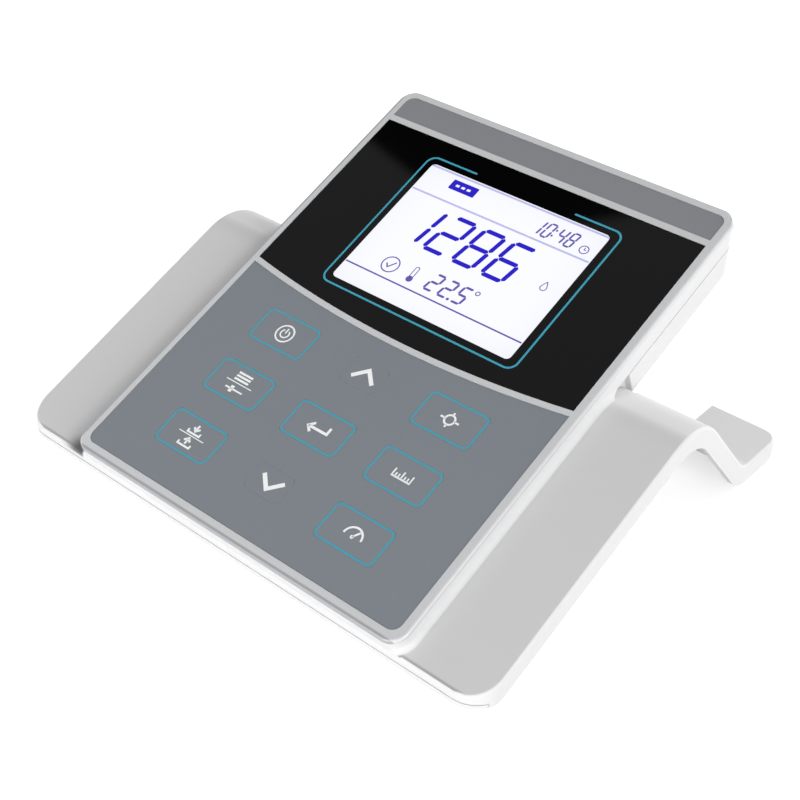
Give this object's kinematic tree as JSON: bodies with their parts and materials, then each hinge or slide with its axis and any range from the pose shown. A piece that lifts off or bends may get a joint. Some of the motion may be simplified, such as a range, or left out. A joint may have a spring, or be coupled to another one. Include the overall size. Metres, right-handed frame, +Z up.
{
  "type": "benchtop conductivity meter",
  "caption": "Benchtop conductivity meter: sloping console with display and keypad on a white stand with wings, rear sockets for the probes.",
  "frame": {"origin": "on the bench under the middle of the meter's footprint", "axes": "+X to the right as its user sees it, +Y to the back of the meter, +Z up; the keypad faces up and towards -Y"},
  "size_m": [0.2314, 0.2032, 0.095],
  "materials": {
    "white_plastic": "fine-grained",
    "lower_white_plastic": "fine-grained",
    "silver_frame": "satin",
    "grey_panel": "printed foil, satin",
    "grey_strip": "printed foil, satin",
    "grey_key": "satin",
    "black_lens": "polished",
    "display_glass": "polished",
    "light_guide": "frosted",
    "white_holder": "matte",
    "board_green": "solder mask",
    "switch_black": "matte",
    "screw_steel": "zinc plated",
    "rear_panel_black": "matte",
    "socket_nickel": "nickel plated",
    "socket_white": "waxy",
    "socket_black": "matte",
    "foot_rubber": "matte",
    "cable_grey": "matte",
    "shield_tin": "tin plated",
    "chip_black": "matte"
  },
  "bodies": {
    "housing": {"upper_shell": "white_plastic", "lower_shell": "lower_white_plastic", "bezel_frame": "silver_frame", "keypad_panel": "grey_panel", "display_lens": "black_lens", "top_strip": "grey_strip", "display_glass": "display_glass", "backlight": "light_guide", "display_holder": "white_holder", "main_board": "board_green", "key_board": "board_green", "push_switches": "switch_black", "case_screws": "screw_steel", "main_board_screws": "screw_steel", "key_board_screws": "screw_steel", "rear_panel": "rear_panel_black", "probe_socket": "socket_nickel", "probe_socket_core": "socket_white", "temperature_socket": "socket_nickel", "data_socket": "socket_nickel", "power_socket": "socket_black", "probe_nut": "socket_nickel", "temperature_nut": "socket_nickel", "foot_front_left": "foot_rubber", "foot_front_right": "foot_rubber", "foot_rear_left": "foot_rubber", "foot_rear_right": "foot_rubber", "ribbon_cable": "cable_grey", "measuring_shield": "shield_tin", "processor": "chip_black", "coin_cell": "shield_tin", "beeper": "chip_black", "cell_cradle": "chip_black"},
    "power_button": {"key_power": "grey_key"},
    "mode_button": {"key_mode": "grey_key"},
    "memory_button": {"key_memory": "grey_key"},
    "up_button": {"key_up": "grey_key"},
    "enter_button": {"key_enter": "grey_key"},
    "down_button": {"key_down": "grey_key"},
    "calibrate_button": {"key_calibrate": "grey_key"},
    "unit_button": {"key_unit": "grey_key"},
    "measure_button": {"key_measure": "grey_key"}
  },
  "joints": [
    {"name": "press_power", "type": "slide", "parent": "housing", "child": "power_button", "axis": [0, 0.3907, -0.9205], "range_m": [0, 0.0004], "stiffness_N_per_m": 1200},
    {"name": "press_mode", "type": "slide", "parent": "housing", "child": "mode_button", "axis": [0, 0.3907, -0.9205], "range_m": [0, 0.0004], "stiffness_N_per_m": 1200},
    {"name": "press_memory", "type": "slide", "parent": "housing", "child": "memory_button", "axis": [0, 0.3907, -0.9205], "range_m": [0, 0.0004], "stiffness_N_per_m": 1200},
    {"name": "press_up", "type": "slide", "parent": "housing", "child": "up_button", "axis": [0, 0.3907, -0.9205], "range_m": [0, 0.0004], "stiffness_N_per_m": 1200},
    {"name": "press_enter", "type": "slide", "parent": "housing", "child": "enter_button", "axis": [0, 0.3907, -0.9205], "range_m": [0, 0.0004], "stiffness_N_per_m": 1200},
    {"name": "press_down", "type": "slide", "parent": "housing", "child": "down_button", "axis": [0, 0.3907, -0.9205], "range_m": [0, 0.0004], "stiffness_N_per_m": 1200},
    {"name": "press_calibrate", "type": "slide", "parent": "housing", "child": "calibrate_button", "axis": [0, 0.3907, -0.9205], "range_m": [0, 0.0004], "stiffness_N_per_m": 1200},
    {"name": "press_unit", "type": "slide", "parent": "housing", "child": "unit_button", "axis": [0, 0.3907, -0.9205], "range_m": [0, 0.0004], "stiffness_N_per_m": 1200},
    {"name": "press_measure", "type": "slide", "parent": "housing", "child": "measure_button", "axis": [0, 0.3907, -0.9205], "range_m": [0, 0.0004], "stiffness_N_per_m": 1200}
  ]
}
